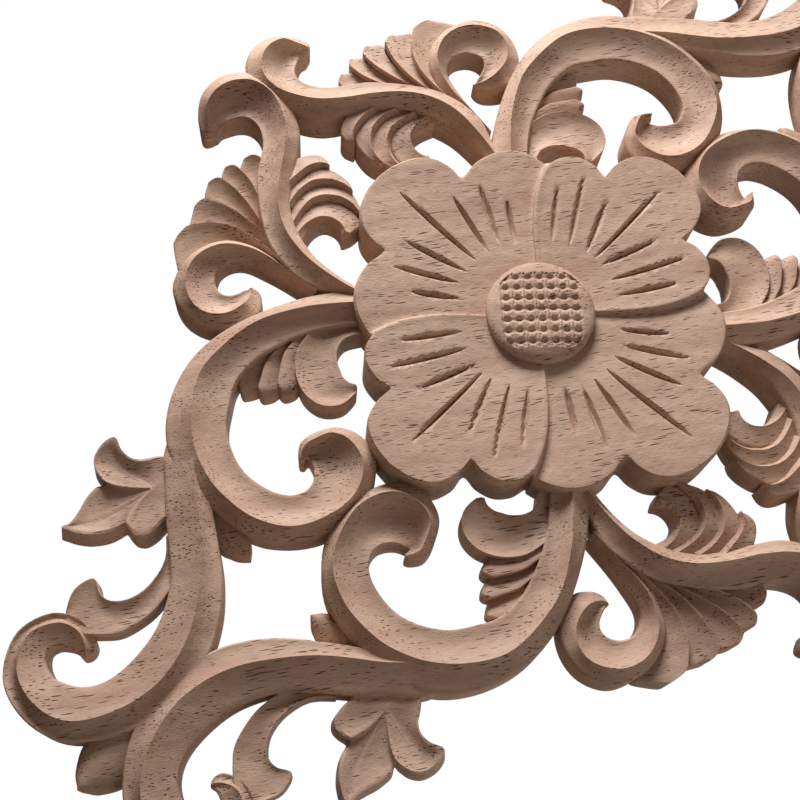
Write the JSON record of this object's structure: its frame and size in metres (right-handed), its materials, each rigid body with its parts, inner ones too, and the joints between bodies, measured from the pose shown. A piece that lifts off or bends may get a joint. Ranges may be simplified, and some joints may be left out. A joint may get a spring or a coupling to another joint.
{
  "type": "wood applique",
  "caption": "pierced carved wooden applique with a flat back: a large lobed flower in the middle of leafy scrolls, narrowing to a point at both ends of its long axis",
  "frame": {"origin": "centre of the flat back, behind the middle of the flower, where the applique lies against the surface it is fixed to", "axes": "+X along the long axis, +Z along the short axis, +Y into the surface behind it, so the carving faces -Y"},
  "size_m": [0.3, 0.0151, 0.2084],
  "materials": {
    "carved_applique": "bare pale pinkish-beige hardwood, sanded, with short dark pores and fine tool marks"
  },
  "bodies": {
    "root": {"carved_applique": "carved_applique"}
  },
  "joints": []
}
